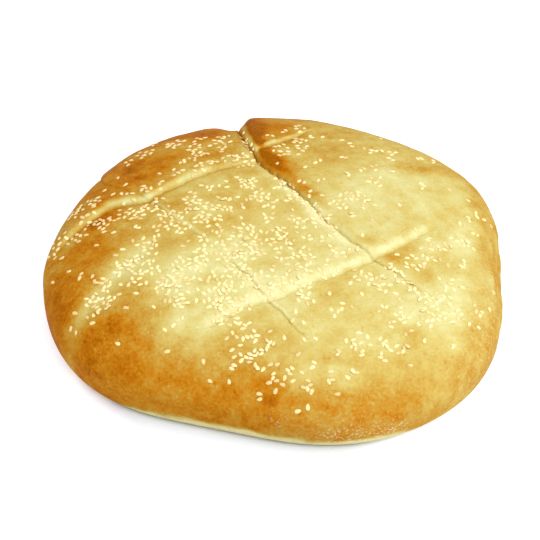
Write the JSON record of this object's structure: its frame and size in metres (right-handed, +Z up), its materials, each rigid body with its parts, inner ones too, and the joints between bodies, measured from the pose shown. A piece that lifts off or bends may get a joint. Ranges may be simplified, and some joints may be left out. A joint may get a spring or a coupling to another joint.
{
  "type": "sesame khobz",
  "caption": "Round thick flatbread with a flat underside, a low domed top slashed in a noughts-and-crosses pattern, and sesame seeds on the crust.",
  "frame": {"origin": "middle of the loaf's outline, on its flat underside", "axes": "+Z up out of the domed top, +Y to the back of the loaf where the long slash opens, +X to the right"},
  "size_m": [0.2415, 0.2455, 0.0502],
  "materials": {
    "crust": "baked wheat crust, golden with browner shoulders and pale opened cuts, dry satin",
    "sesame": "hulled sesame seed, cream, slightly oily satin"
  },
  "bodies": {
    "root": {"loaf": "crust"}
  },
  "joints": []
}
